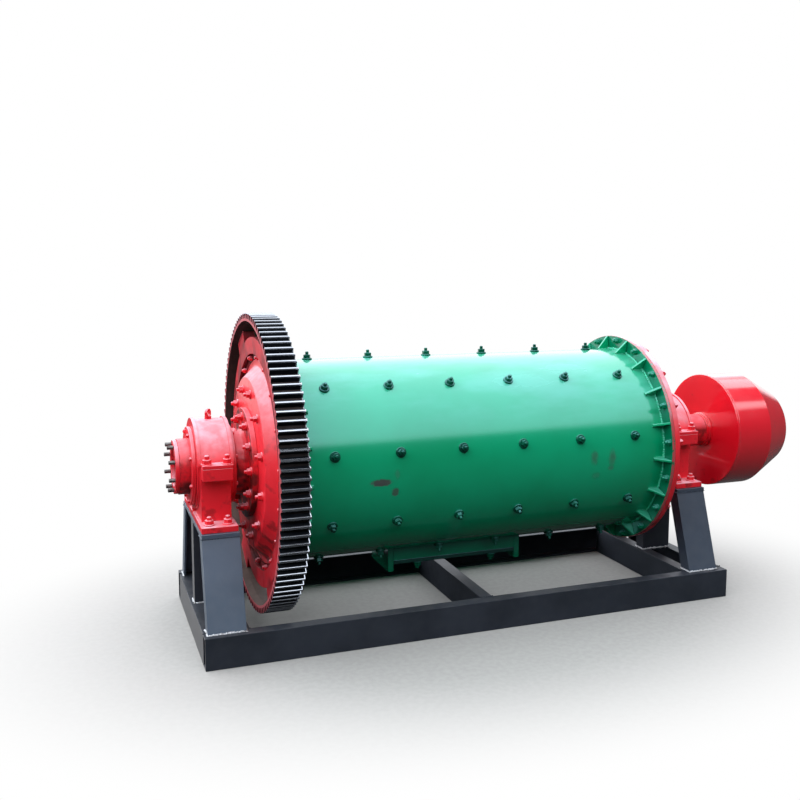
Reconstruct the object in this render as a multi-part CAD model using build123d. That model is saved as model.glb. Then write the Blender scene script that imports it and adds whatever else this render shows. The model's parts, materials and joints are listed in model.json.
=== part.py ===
"""Skid-mounted ball mill, 900 mm bore by 1.8 m drum class.

X runs along the mill axis from the discharge end (-X) to the feed end (+X), Y runs to the back and
Z is up. The origin lies on the floor, under the middle of the drum. All sizes are millimetres, and
stations along X are distances from the middle of the drum towards either end.
"""
from build123d import *
import math
import os

# Drum shell and its two welded flanges
SHELL_BORE_RADIUS = 450
SHELL_WALL = 12
DRUM_LENGTH = 1836
FLANGE_THICKNESS = 16
FLANGE_HEIGHT = 69
GUSSET_COUNT = 18
GUSSET_FIRST_ANGLE = 13.5
GUSSET_LENGTH = 60
GUSSET_THICKNESS = 12
GUSSET_STEP = 3
GUSSET_NOSE = 6

# Manhole under the drum
MANHOLE_CENTRE_X = -45
MANHOLE_LENGTH = 640
MANHOLE_WIDTH = 250
MANHOLE_WALL = 25
MANHOLE_STAND_OFF = 42
MANHOLE_COVER_THICKNESS = 20
MANHOLE_BAR_THICKNESS = 28
MANHOLE_BAR_DROP = 96

# Cast end covers, the same at both ends
COVER_FLANGE_THICKNESS = 28
COVER_PILOT_STEP = 6
COVER_DEPTH = 115
COVER_SHOULDER_RADIUS = 440
COVER_FACE_RADIUS = 388
COVER_WALL = 40
COVER_LIP = 10

# Split girth gear on the discharge end
GEAR_MODULE = 12.4
PRESSURE_ANGLE = 20
ADDENDUM = 1.0
TOOTH_DEPTH = 1.95
FLANK_BULGE = 0.05
GEAR_FACE_WIDTH = 122
GEAR_FACE_OFFSET = 29
GEAR_HUB_HEIGHT = 104
GEAR_WINDOW_HEIGHT = 63
GEAR_RIM_THICKNESS = 11
GEAR_RIM_DRAFT = 12
GEAR_HUB_THICKNESS = 54
GEAR_RECESS_HEIGHT = 28
GEAR_RECESS_DEPTH = 20
GEAR_ARM_COUNT = 6
GEAR_ARM_WIDTH = 150
GEAR_LUG_WIDTH = 34
GEAR_LUG_PROUD = 18
PILOT_CLEARANCE = 2
GEAR_FLOOR_CLEARANCE = 89

# Hollow trunnions
TRUNNION_FLANGE_RADIUS = 250
TRUNNION_FLANGE_THICKNESS = 25
TRUNNION_NECK_RADIUS = 145
TRUNNION_NECK_FLARE = 16
DISCHARGE_NECK_LENGTH = 50
FEED_NECK_LENGTH = 24
JOURNAL_RADIUS = 125
DISCHARGE_BORE_RADIUS = 85
DISCHARGE_STICK_OUT = 45.5
FEED_BORE_RADIUS = 62
FEED_STUB_RADIUS = 86
FEED_STUB_LENGTH = 161

# Ring and studs that wait for the discharge spout
SPOUT_RING_THICKNESS = 18
SPOUT_RING_RADIUS = 121
STUD_COUNT = 8
STUD_CIRCLE_RADIUS = 104
STUD_RADIUS = 9
STUD_LENGTH = 28

# Split bearing housings, the same at both ends
BEARING_WIDTH = 157
DOME_RADIUS = 210
DOME_BEAD_WIDTH = 15
DOME_BEAD_HEIGHT = 6
BUSH_WALL = 25
HOUSING_SPLIT_HEIGHT = 36
HOUSING_COLLAR_RADIUS = 192
HOUSING_BODY_LENGTH = 130
HOUSING_BODY_WIDTH = 404
HOUSING_EAR_WIDTH = 536
CAP_EAR_THICKNESS = 14
LOWER_EAR_THICKNESS = 54
HOUSING_FOOT_WIDTH = 590
HOUSING_FOOT_THICKNESS = 27
HOUSING_SOLE_BELOW_AXIS = 237
HOUSING_RIB_THICKNESS = 24
SIDE_COVER_RADIUS = 178
SIDE_COVER_THICKNESS = 18
SHOULDER_GAP = 6
RUNNING_GAP = 0.3
SEAL_GAP = 1.0
SEAT_GAP = 0.3
EYE_COLLAR_RADIUS = 15
EYE_COLLAR_HEIGHT = 12
EYE_RADIUS = 22
EYE_HOLE_RADIUS = 12
EYE_THICKNESS = 11
EYE_SIDES = 16
EYE_TURN = 35

# Pedestals: top plate, two splayed channel legs and an upright column of the same channel
PEDESTAL_WIDTH = 163
PEDESTAL_PLATE_LENGTH = 620
PEDESTAL_PLATE_THICKNESS = 18
LEG_FOOT_INSET = 30
LEG_HEAD_INSET = 4
LEG_DEPTH = 65
LEG_WEB_THICKNESS = 8.5
LEG_FLANGE_THICKNESS = 10

# Skid frame of rolled channels
DISCHARGE_OVERHANG = 97.5
FEED_OVERHANG = 123.5
FRAME_WIDTH = 921
BEAM_HEIGHT = 140
CHANNEL_FLANGE = 60
CHANNEL_WEB_THICKNESS = 8
CHANNEL_FLANGE_THICKNESS = 9.5
MIDDLE_CROSS_BEAM_X = -35
INNER_CROSS_BEAM_OFFSET = 100

# Drum feeder on the feed trunnion
HUB_COLLAR_RADIUS = 90
HUB_COLLAR_THICKNESS = 16
HUB_RING_RADIUS = 95
HUB_RING_THICKNESS = 14
FEEDER_PLATE_THICKNESS = 12
FEEDER_RADIUS = 303
FEEDER_WALL = 8
FEEDER_BARREL_LENGTH = 210
FEEDER_CONE_LENGTH = 190
FEEDER_NOSE_RADIUS = 204
FEEDER_MOUTH_RADIUS = 150
FEEDER_LIP_THICKNESS = 10
SCOOP_WIDTH = 150
SCOOP_THICKNESS = 8
SCOOP_TURN_RADIUS = 185
SCOOP_INNER_RADIUS = 85

# Sizes that follow from the driving ones
SHELL_RADIUS = SHELL_BORE_RADIUS + SHELL_WALL
FLANGE_RADIUS = SHELL_RADIUS + FLANGE_HEIGHT
COVER_PILOT_RADIUS = SHELL_RADIUS + COVER_PILOT_STEP
GEAR_HUB_RADIUS = COVER_PILOT_RADIUS + GEAR_HUB_HEIGHT
GEAR_RIM_HEIGHT = GEAR_RIM_DRAFT + GEAR_RIM_THICKNESS + (TOOTH_DEPTH - ADDENDUM) * GEAR_MODULE
GEAR_TEETH = 2 * round((GEAR_HUB_RADIUS + GEAR_WINDOW_HEIGHT + GEAR_RIM_HEIGHT) / GEAR_MODULE)
GEAR_PITCH_RADIUS = GEAR_MODULE * GEAR_TEETH / 2
GEAR_TIP_RADIUS = GEAR_PITCH_RADIUS + ADDENDUM * GEAR_MODULE
GEAR_ROOT_RADIUS = GEAR_TIP_RADIUS - TOOTH_DEPTH * GEAR_MODULE
AXIS_HEIGHT = GEAR_TIP_RADIUS + GEAR_FLOOR_CLEARANCE
MILL_AXIS = Axis((0, 0, AXIS_HEIGHT), (1, 0, 0))
DRUM_END_X = DRUM_LENGTH / 2
SHELL_END_X = DRUM_END_X - FLANGE_THICKNESS
COVER_FACE_X = DRUM_END_X + COVER_DEPTH
GEAR_SEAT_X = DRUM_END_X + COVER_FLANGE_THICKNESS
GEAR_HUB_X = GEAR_SEAT_X + GEAR_HUB_THICKNESS
GEAR_RECESS_X = GEAR_HUB_X - GEAR_RECESS_DEPTH
GEAR_OUTER_X = GEAR_HUB_X + GEAR_FACE_OFFSET
GEAR_INNER_X = GEAR_OUTER_X - GEAR_FACE_WIDTH
TRUNNION_FACE_X = COVER_FACE_X + TRUNNION_FLANGE_THICKNESS
SHOULDER_TO_BEARING = SHOULDER_GAP + SIDE_COVER_THICKNESS + BEARING_WIDTH / 2
DISCHARGE_SHOULDER_X = TRUNNION_FACE_X + DISCHARGE_NECK_LENGTH
DISCHARGE_BEARING_X = DISCHARGE_SHOULDER_X + SHOULDER_TO_BEARING
DISCHARGE_END_X = DISCHARGE_BEARING_X + BEARING_WIDTH / 2 + SIDE_COVER_THICKNESS + DISCHARGE_STICK_OUT
FEED_SHOULDER_X = TRUNNION_FACE_X + FEED_NECK_LENGTH
FEED_BEARING_X = FEED_SHOULDER_X + SHOULDER_TO_BEARING
FEED_STUB_X = FEED_BEARING_X + SHOULDER_TO_BEARING
HUB_COLLAR_X = FEED_STUB_X + FEED_STUB_LENGTH
HUB_RING_X = HUB_COLLAR_X + HUB_COLLAR_THICKNESS
FEEDER_PLATE_X = HUB_RING_X + HUB_RING_THICKNESS
FEEDER_INSIDE_X = FEEDER_PLATE_X + FEEDER_PLATE_THICKNESS
FEEDER_SHOULDER_X = FEEDER_PLATE_X + FEEDER_BARREL_LENGTH
FEEDER_END_X = FEEDER_SHOULDER_X + FEEDER_CONE_LENGTH
HOUSING_BORE_RADIUS = JOURNAL_RADIUS + BUSH_WALL
HOUSING_SPLIT_Z = AXIS_HEIGHT + HOUSING_SPLIT_HEIGHT
PEDESTAL_TOP_Z = AXIS_HEIGHT - HOUSING_SOLE_BELOW_AXIS
LEG_HEAD_Z = PEDESTAL_TOP_Z - PEDESTAL_PLATE_THICKNESS
FRAME_LEFT_X = -DISCHARGE_BEARING_X - DISCHARGE_OVERHANG
FRAME_RIGHT_X = FEED_BEARING_X + FEED_OVERHANG

nodes = {}


def box(x0, x1, y0, y1, z0, z1):
    """Block between two corners."""
    size = (x1 - x0, y1 - y0, z1 - z0)
    return Pos((x0 + x1) / 2, (y0 + y1) / 2, (z0 + z1) / 2) * Box(*size)


def along_x(outline, x0, x1):
    """Prism of a (y, z) outline between two X stations."""
    return extrude(Plane.YZ.offset(x0) * make_face(outline), amount=x1 - x0)


def turned(points):
    """Solid turned about the mill axis from a closed list of (x, radius) corners."""
    corners = [(x, AXIS_HEIGHT + radius) for x, radius in points]
    return revolve(Plane.XZ * make_face(Polyline(*corners, close=True)), MILL_AXIS)


def disc(x0, x1, radius):
    """Plain cylinder on the mill axis."""
    return Pos((x0 + x1) / 2, 0, AXIS_HEIGHT) * Rot(0, 90, 0) * Cylinder(radius, x1 - x0)


def ring(x0, x1, outer, inner):
    """Flat ring on the mill axis."""
    return turned([(x0, inner), (x1, inner), (x1, outer), (x0, outer)])


def polar(radius, angle):
    """Point of the (y, z) plane at an angle in degrees about the mill axis."""
    turn = math.radians(angle)
    return (radius * math.cos(turn), AXIS_HEIGHT + radius * math.sin(turn))


def discharge_end(solid):
    """Piece drawn at the feed end, mirrored to the discharge end."""
    return mirror(solid, Plane.YZ)


def other_side(solid):
    """The same piece at the back of the mill."""
    return mirror(solid, Plane.XZ)


def round_axis(solid, angle):
    """Piece turned by an angle about the mill axis."""
    return solid.rotate(MILL_AXIS, angle)


def channel(length, height, flange, web, flange_wall):
    """Rolled channel along X from the origin: web on the low Y side, flanges towards +Y."""
    outside = box(0, length, 0, flange, 0, height)
    return outside - box(0, length, web, flange, flange_wall, height - flange_wall)


def frame_pieces():
    """Two long channels, webs outwards, and five cross channels welded between their flange tips."""
    section = (BEAM_HEIGHT, CHANNEL_FLANGE, CHANNEL_WEB_THICKNESS, CHANNEL_FLANGE_THICKNESS)
    front = Pos(FRAME_LEFT_X, -FRAME_WIDTH / 2, 0) * channel(FRAME_RIGHT_X - FRAME_LEFT_X, *section)
    nodes["frame_long_beam_front"] = front
    nodes["frame_long_beam_back"] = other_side(front)
    half = FRAME_WIDTH / 2 - CHANNEL_FLANGE
    facing_left = Pos(0, half, 0) * Rot(0, 0, -90) * channel(2 * half, *section)
    facing_right = mirror(facing_left, Plane.YZ)
    nodes["frame_cross_beam_left"] = Pos(FRAME_LEFT_X, 0, 0) * facing_left
    inner_left_x = INNER_CROSS_BEAM_OFFSET - DISCHARGE_BEARING_X
    nodes["frame_cross_beam_inner_left"] = Pos(inner_left_x, 0, 0) * facing_right
    nodes["frame_cross_beam_middle"] = Pos(MIDDLE_CROSS_BEAM_X, 0, 0) * facing_left
    inner_right_x = FEED_BEARING_X - INNER_CROSS_BEAM_OFFSET
    nodes["frame_cross_beam_inner_right"] = Pos(inner_right_x, 0, 0) * facing_left
    nodes["frame_cross_beam_right"] = Pos(FRAME_RIGHT_X, 0, 0) * facing_right


def pedestal(centre):
    """Top plate and splayed front and back legs under one bearing."""
    left = centre - PEDESTAL_WIDTH / 2
    right = centre + PEDESTAL_WIDTH / 2
    half = PEDESTAL_PLATE_LENGTH / 2
    foot_y = FRAME_WIDTH / 2 - LEG_FOOT_INSET
    head_y = half - LEG_HEAD_INSET
    lean = math.atan2(foot_y - head_y, LEG_HEAD_Z - BEAM_HEIGHT)
    depth = LEG_DEPTH / math.cos(lean)
    web = LEG_WEB_THICKNESS / math.cos(lean)

    def slope(start, end):
        outer = [(start - foot_y, BEAM_HEIGHT), (start - head_y, LEG_HEAD_Z)]
        inner = [(end - head_y, LEG_HEAD_Z), (end - foot_y, BEAM_HEIGHT)]
        return Polyline(*outer, *inner, close=True)

    leg = along_x(slope(0, depth), left, right)
    leg -= along_x(slope(web, depth), left + LEG_FLANGE_THICKNESS, right - LEG_FLANGE_THICKNESS)
    return {
        "top_plate": box(left, right, -half, half, LEG_HEAD_Z, PEDESTAL_TOP_Z),
        "front_leg": leg,
        "back_leg": other_side(leg),
    }


def pedestal_column(centre):
    """Upright channel under the middle of one bearing."""
    left = centre - PEDESTAL_WIDTH / 2
    right = centre + PEDESTAL_WIDTH / 2
    half = LEG_DEPTH / 2
    column = box(left, right, -half, half, BEAM_HEIGHT, LEG_HEAD_Z)
    column -= box(left + LEG_FLANGE_THICKNESS, right - LEG_FLANGE_THICKNESS,
                  LEG_WEB_THICKNESS - half, half, BEAM_HEIGHT, LEG_HEAD_Z)
    return column


def lower_housing(inner_x, outer_x):
    """Foot, body with a rib on each end face, joint ears and the collar that holds the bush."""
    foot_top = PEDESTAL_TOP_Z + HOUSING_FOOT_THICKNESS
    ear_bottom = HOUSING_SPLIT_Z - LOWER_EAR_THICKNESS
    collar = HOUSING_COLLAR_RADIUS
    inset = (BEARING_WIDTH - HOUSING_BODY_LENGTH) / 2
    layers = [
        (0, HOUSING_FOOT_WIDTH, PEDESTAL_TOP_Z, foot_top),
        (inset, HOUSING_BODY_WIDTH, foot_top, ear_bottom),
        (inset, HOUSING_EAR_WIDTH, ear_bottom, HOUSING_SPLIT_Z),
        (0, HOUSING_RIB_THICKNESS, foot_top, AXIS_HEIGHT - HOUSING_BORE_RADIUS)]
    body = ring(inner_x, outer_x, collar, HOUSING_BORE_RADIUS)
    body &= box(inner_x, outer_x, -collar, collar, AXIS_HEIGHT - collar, HOUSING_SPLIT_Z)
    for setback, width, low, high in layers:
        body += box(inner_x + setback, outer_x - setback, -width / 2, width / 2, low, high)
    return body - disc(inner_x, outer_x, HOUSING_BORE_RADIUS)


def bearing_cap(inner_x, outer_x):
    """Domed cap with a raised bead round both edges and two joint ears."""
    bead = DOME_RADIUS + DOME_BEAD_HEIGHT
    dome = ring(inner_x, outer_x, bead, HOUSING_BORE_RADIUS)
    dome -= ring(inner_x + DOME_BEAD_WIDTH, outer_x - DOME_BEAD_WIDTH, bead, DOME_RADIUS)
    dome &= box(inner_x, outer_x, -bead, bead, HOUSING_SPLIT_Z, HOUSING_SPLIT_Z + bead)
    inset = (BEARING_WIDTH - HOUSING_BODY_LENGTH) / 2
    half = HOUSING_EAR_WIDTH / 2
    ears = box(inner_x + inset, outer_x - inset, -half, half,
               HOUSING_SPLIT_Z, HOUSING_SPLIT_Z + CAP_EAR_THICKNESS)
    return dome + (ears - disc(inner_x, outer_x, HOUSING_BORE_RADIUS))


def lifting_eye(centre):
    """Collar and flat ring of the eye bolt on top of a cap."""
    top = AXIS_HEIGHT + DOME_RADIUS
    collar = Pos(centre, 0, top + EYE_COLLAR_HEIGHT / 2) * Cylinder(EYE_COLLAR_RADIUS, EYE_COLLAR_HEIGHT)
    outline = RegularPolygon(EYE_RADIUS, EYE_SIDES) - RegularPolygon(EYE_HOLE_RADIUS, EYE_SIDES)
    eye = extrude(Plane.YZ * outline, amount=EYE_THICKNESS / 2, both=True)
    eye_z = top + EYE_COLLAR_HEIGHT + EYE_HOLE_RADIUS
    return collar + Pos(centre, 0, eye_z) * Rot(0, 0, EYE_TURN) * eye


def bearing(centre):
    """Housing, cap, bush and side covers of one main bearing."""
    inner_x = centre - BEARING_WIDTH / 2
    outer_x = centre + BEARING_WIDTH / 2
    seal = JOURNAL_RADIUS + SEAL_GAP
    return {
        "lower_housing": lower_housing(inner_x, outer_x),
        "cap": bearing_cap(inner_x, outer_x),
        "bush": ring(inner_x, outer_x, HOUSING_BORE_RADIUS - SEAT_GAP, JOURNAL_RADIUS + RUNNING_GAP),
        "outer_cover": ring(outer_x, outer_x + SIDE_COVER_THICKNESS, SIDE_COVER_RADIUS, seal),
        "inner_cover": ring(inner_x - SIDE_COVER_THICKNESS, inner_x, SIDE_COVER_RADIUS, seal),
    }


def support_pieces():
    """Pedestal and bearing at each end of the mill."""
    for side, centre in (("left", DISCHARGE_BEARING_X), ("right", FEED_BEARING_X)):
        pieces = {f"pedestal_{side}_{name}": solid for name, solid in pedestal(centre).items()}
        pieces |= {f"bearing_{side}_{name}": solid for name, solid in bearing(centre).items()}
        if side == "left":
            pieces = {name: discharge_end(solid) for name, solid in pieces.items()}
        nodes.update(pieces)
    for name, make in (("pedestal_columns", pedestal_column), ("bearing_lifting_eyes", lifting_eye)):
        pair = [discharge_end(make(DISCHARGE_BEARING_X)), make(FEED_BEARING_X)]
        nodes[name] = Compound(children=pair)


def shell_pieces():
    """Rolled shell with its manhole cut, end flanges and the gussets that stiffen them."""
    opening_x = MANHOLE_LENGTH / 2 - MANHOLE_WALL
    opening_y = MANHOLE_WIDTH / 2 - MANHOLE_WALL
    shell = ring(-SHELL_END_X, SHELL_END_X, SHELL_RADIUS, SHELL_BORE_RADIUS)
    shell -= box(MANHOLE_CENTRE_X - opening_x, MANHOLE_CENTRE_X + opening_x, -opening_y, opening_y,
                 AXIS_HEIGHT - SHELL_RADIUS, AXIS_HEIGHT)
    nodes["drum_shell"] = shell
    flange = ring(SHELL_END_X, DRUM_END_X, FLANGE_RADIUS, SHELL_BORE_RADIUS)
    nodes["shell_flange_left"] = discharge_end(flange)
    nodes["shell_flange_right"] = flange
    foot = AXIS_HEIGHT + SHELL_RADIUS
    head = AXIS_HEIGHT + FLANGE_RADIUS - GUSSET_STEP
    tail_x = SHELL_END_X - GUSSET_LENGTH
    side = Polyline((SHELL_END_X, foot), (SHELL_END_X, head), (SHELL_END_X - GUSSET_NOSE, head),
                    (tail_x, foot + GUSSET_NOSE), (tail_x, foot), close=True)
    gusset = extrude(Plane.XZ * make_face(side), amount=GUSSET_THICKNESS / 2, both=True)
    angles = [GUSSET_FIRST_ANGLE + 360 / GUSSET_COUNT * i for i in range(GUSSET_COUNT)]
    gussets = Compound(children=[round_axis(gusset, angle) for angle in angles])
    nodes["flange_gussets_left"] = discharge_end(gussets)
    nodes["flange_gussets_right"] = gussets


def manhole_pieces():
    """Welded frame, bolted cover and end bars of the manhole."""
    half_y = MANHOLE_WIDTH / 2
    left = MANHOLE_CENTRE_X - MANHOLE_LENGTH / 2
    right = MANHOLE_CENTRE_X + MANHOLE_LENGTH / 2
    sole = AXIS_HEIGHT - SHELL_RADIUS - MANHOLE_STAND_OFF
    bar_sole = AXIS_HEIGHT - SHELL_RADIUS - MANHOLE_BAR_DROP
    drum = disc(-SHELL_END_X, SHELL_END_X, SHELL_RADIUS + SEAT_GAP)
    opening_y = half_y - MANHOLE_WALL
    walls = box(left, right, -half_y, half_y, sole, AXIS_HEIGHT)
    walls -= box(left + MANHOLE_WALL, right - MANHOLE_WALL, -opening_y, opening_y, sole, AXIS_HEIGHT)
    nodes["manhole_frame"] = walls - drum
    nodes["manhole_cover"] = box(left, right, -half_y, half_y, sole - MANHOLE_COVER_THICKNESS, sole)
    bars = [
        box(start, start + MANHOLE_BAR_THICKNESS, -half_y, half_y, bar_sole, AXIS_HEIGHT) - drum
        for start in (left - MANHOLE_BAR_THICKNESS, right)]
    nodes["manhole_end_bars"] = Compound(children=bars)


def end_cover(bore):
    """Dished cast cover: bolting flange, pilot for the gear, sloped shoulder and flat face."""
    inner_face = COVER_FACE_X - COVER_WALL
    return turned([
        (DRUM_END_X, SHELL_BORE_RADIUS), (DRUM_END_X, FLANGE_RADIUS), (GEAR_SEAT_X, FLANGE_RADIUS),
        (GEAR_SEAT_X, COVER_PILOT_RADIUS), (GEAR_RECESS_X, COVER_PILOT_RADIUS),
        (GEAR_RECESS_X, COVER_SHOULDER_RADIUS), (COVER_FACE_X, COVER_FACE_RADIUS), (COVER_FACE_X, bore),
        (inner_face, bore), (inner_face, COVER_FACE_RADIUS - COVER_WALL),
        (DRUM_END_X + COVER_LIP, SHELL_BORE_RADIUS)])


def trunnion(bore, shoulder_x, outer_steps):
    """Hollow trunnion: bolting flange, flared neck, journal shoulder, then the given outer steps."""
    flare_radius = TRUNNION_NECK_RADIUS + TRUNNION_NECK_FLARE
    end_x = outer_steps[-1][0]
    return turned([
        (COVER_FACE_X, bore), (COVER_FACE_X, TRUNNION_FLANGE_RADIUS),
        (TRUNNION_FACE_X, TRUNNION_FLANGE_RADIUS), (TRUNNION_FACE_X, flare_radius),
        (TRUNNION_FACE_X + TRUNNION_NECK_FLARE, TRUNNION_NECK_RADIUS),
        (shoulder_x, TRUNNION_NECK_RADIUS), (shoulder_x, JOURNAL_RADIUS), *outer_steps, (end_x, bore)])


def drum_end_pieces():
    """End covers, trunnions and the spout ring with its studs."""
    nodes["discharge_end_cover"] = discharge_end(end_cover(DISCHARGE_BORE_RADIUS))
    nodes["feed_end_cover"] = end_cover(FEED_BORE_RADIUS)
    nodes["trunnion_discharge"] = discharge_end(trunnion(
        DISCHARGE_BORE_RADIUS, DISCHARGE_SHOULDER_X, [(DISCHARGE_END_X, JOURNAL_RADIUS)]))
    nodes["trunnion_feed"] = trunnion(FEED_BORE_RADIUS, FEED_SHOULDER_X, [
        (FEED_STUB_X, JOURNAL_RADIUS), (FEED_STUB_X, FEED_STUB_RADIUS), (HUB_COLLAR_X, FEED_STUB_RADIUS)])
    ring_end = DISCHARGE_END_X + SPOUT_RING_THICKNESS
    spout_ring = ring(DISCHARGE_END_X, ring_end, SPOUT_RING_RADIUS, DISCHARGE_BORE_RADIUS)
    nodes["spout_ring"] = discharge_end(spout_ring)
    stud_place = Pos(ring_end + STUD_LENGTH / 2, 0, AXIS_HEIGHT + STUD_CIRCLE_RADIUS)
    stud = stud_place * Rot(0, 90, 0) * Cylinder(STUD_RADIUS, STUD_LENGTH)
    studs = [round_axis(stud, 360 / STUD_COUNT * (i + 0.5)) for i in range(STUD_COUNT)]
    nodes["spout_studs"] = discharge_end(Compound(children=studs))


def toothed_half():
    """Half disc with its teeth, upper half, from gap centre to gap centre."""
    pitch = 360 / GEAR_TEETH
    slant = math.tan(math.radians(PRESSURE_ANGLE)) / GEAR_PITCH_RADIUS
    half_tip = pitch / 4 - math.degrees((GEAR_TIP_RADIUS - GEAR_PITCH_RADIUS) * slant)
    half_root = pitch / 4 + math.degrees((GEAR_PITCH_RADIUS - GEAR_ROOT_RADIUS) * slant)
    half_middle = pitch / 4 + FLANK_BULGE
    edges = []
    for i in range(GEAR_TEETH // 2):
        centre = (i + 0.5) * pitch
        rise = polar(GEAR_ROOT_RADIUS, centre - half_root)
        tip_start = polar(GEAR_TIP_RADIUS, centre - half_tip)
        tip_end = polar(GEAR_TIP_RADIUS, centre + half_tip)
        fall = polar(GEAR_ROOT_RADIUS, centre + half_root)
        edges += [
            Line(polar(GEAR_ROOT_RADIUS, centre - pitch / 2), rise),
            ThreePointArc(rise, polar(GEAR_PITCH_RADIUS, centre - half_middle), tip_start),
            Line(tip_start, tip_end),
            ThreePointArc(tip_end, polar(GEAR_PITCH_RADIUS, centre + half_middle), fall),
            Line(fall, polar(GEAR_ROOT_RADIUS, centre + pitch / 2))]
    edges.append(Line(polar(GEAR_ROOT_RADIUS, 180), polar(GEAR_ROOT_RADIUS, 0)))
    return along_x(Curve() + edges, GEAR_INNER_X, GEAR_OUTER_X)


def gear_pieces():
    """Upper and lower halves of the girth gear: toothed rim, arms, hub ring and bolted joint lugs."""
    edge_radius = GEAR_ROOT_RADIUS - GEAR_RIM_THICKNESS
    rim_radius = edge_radius - GEAR_RIM_DRAFT
    bore = COVER_PILOT_RADIUS + PILOT_CLEARANCE
    recess_radius = COVER_PILOT_RADIUS + GEAR_RECESS_HEIGHT
    half = toothed_half()
    half -= turned([
        (GEAR_INNER_X, 0), (GEAR_INNER_X, edge_radius), (GEAR_SEAT_X, rim_radius), (GEAR_SEAT_X, bore),
        (GEAR_RECESS_X, bore), (GEAR_RECESS_X, recess_radius), (GEAR_HUB_X, recess_radius),
        (GEAR_HUB_X, rim_radius), (GEAR_OUTER_X, edge_radius), (GEAR_OUTER_X, 0)])
    window_angle = 360 / GEAR_ARM_COUNT - math.degrees(2 * GEAR_ARM_WIDTH / (GEAR_HUB_RADIUS + rim_radius))
    reach_z = 2 * rim_radius
    reach_y = reach_z * math.tan(math.radians(window_angle / 2))
    corners = [(0, AXIS_HEIGHT), (reach_y, AXIS_HEIGHT + reach_z), (-reach_y, AXIS_HEIGHT + reach_z)]
    window = ring(GEAR_SEAT_X, GEAR_HUB_X, rim_radius, GEAR_HUB_RADIUS)
    window &= along_x(Polyline(*corners, close=True), GEAR_SEAT_X, GEAR_HUB_X)
    windows_per_half = GEAR_ARM_COUNT // 2
    for i in range(windows_per_half):
        half -= round_axis(window, 360 / GEAR_ARM_COUNT * (i - (windows_per_half - 1) / 2))
    for side in (-1, 1):
        near, far = sorted((side * GEAR_HUB_RADIUS, side * rim_radius))
        half += box(GEAR_SEAT_X - GEAR_LUG_PROUD, GEAR_HUB_X + GEAR_LUG_PROUD, near, far,
                    AXIS_HEIGHT, AXIS_HEIGHT + GEAR_LUG_WIDTH)
    upper = discharge_end(half)
    nodes["girth_gear_upper_half"] = upper
    nodes["girth_gear_lower_half"] = round_axis(upper, 180)


def scoop_outline():
    """Spiral of two half circles, from the barrel wall in to the trunnion bore."""
    start = FEEDER_RADIUS - FEEDER_WALL - SEAT_GAP
    turn = SCOOP_TURN_RADIUS
    end = SCOOP_INNER_RADIUS
    wall = SCOOP_THICKNESS
    upper = (start + turn) / 2
    lower = (turn + end) / 2
    upper_y = (start - turn) / 2
    lower_y = (end - turn) / 2
    z = AXIS_HEIGHT
    return Curve() + [
        ThreePointArc((start, z), (upper_y, z + upper), (-turn, z)),
        ThreePointArc((-turn, z), (lower_y, z - lower), (end, z)),
        Line((end, z), (end - wall, z)),
        ThreePointArc((end - wall, z), (lower_y, z - lower + wall), (wall - turn, z)),
        ThreePointArc((wall - turn, z), (upper_y, z + upper - wall), (start - wall, z)),
        Line((start - wall, z), (start, z))]


def feeder_pieces():
    """Drum feeder: stepped hub, back plate, spiral scoop and the barrel with its open nose."""
    nodes["feeder_hub"] = turned([
        (HUB_COLLAR_X, FEED_BORE_RADIUS), (HUB_COLLAR_X, HUB_COLLAR_RADIUS), (HUB_RING_X, HUB_COLLAR_RADIUS),
        (HUB_RING_X, HUB_RING_RADIUS), (FEEDER_PLATE_X, HUB_RING_RADIUS), (FEEDER_PLATE_X, FEED_BORE_RADIUS)])
    nodes["feeder_back_plate"] = ring(FEEDER_PLATE_X, FEEDER_INSIDE_X, FEEDER_RADIUS, FEED_BORE_RADIUS)
    nodes["feeder_scoop"] = along_x(scoop_outline(), FEEDER_INSIDE_X, FEEDER_INSIDE_X + SCOOP_WIDTH)
    lip_x = FEEDER_END_X - FEEDER_LIP_THICKNESS
    inner = FEEDER_RADIUS - FEEDER_WALL
    nodes["feeder_barrel"] = turned([
        (FEEDER_INSIDE_X, inner), (FEEDER_INSIDE_X, FEEDER_RADIUS), (FEEDER_SHOULDER_X, FEEDER_RADIUS),
        (FEEDER_END_X, FEEDER_NOSE_RADIUS), (FEEDER_END_X, FEEDER_MOUTH_RADIUS),
        (lip_x, FEEDER_MOUTH_RADIUS), (lip_x, FEEDER_NOSE_RADIUS - FEEDER_WALL), (FEEDER_SHOULDER_X, inner)])


frame_pieces()
support_pieces()
shell_pieces()
manhole_pieces()
drum_end_pieces()
gear_pieces()
feeder_pieces()

os.makedirs("parts", exist_ok=True)
for name, solid in nodes.items():
    export_step(solid, f"parts/{name}.step")
print(len(nodes), "nodes written")
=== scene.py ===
# %% [markdown]
# # A ball mill in gloss paint
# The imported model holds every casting, plate and channel of the mill at its true place. The eye looks for
# more than that: rounded edges, nuts on their washers, weld beads, wet-looking paint with dust on it. Each
# step below adds one of these. Tools come first, then the finishes, then the pieces, then light and camera.

# %% Load the frame and measure it
import functools
import json
import math

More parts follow.
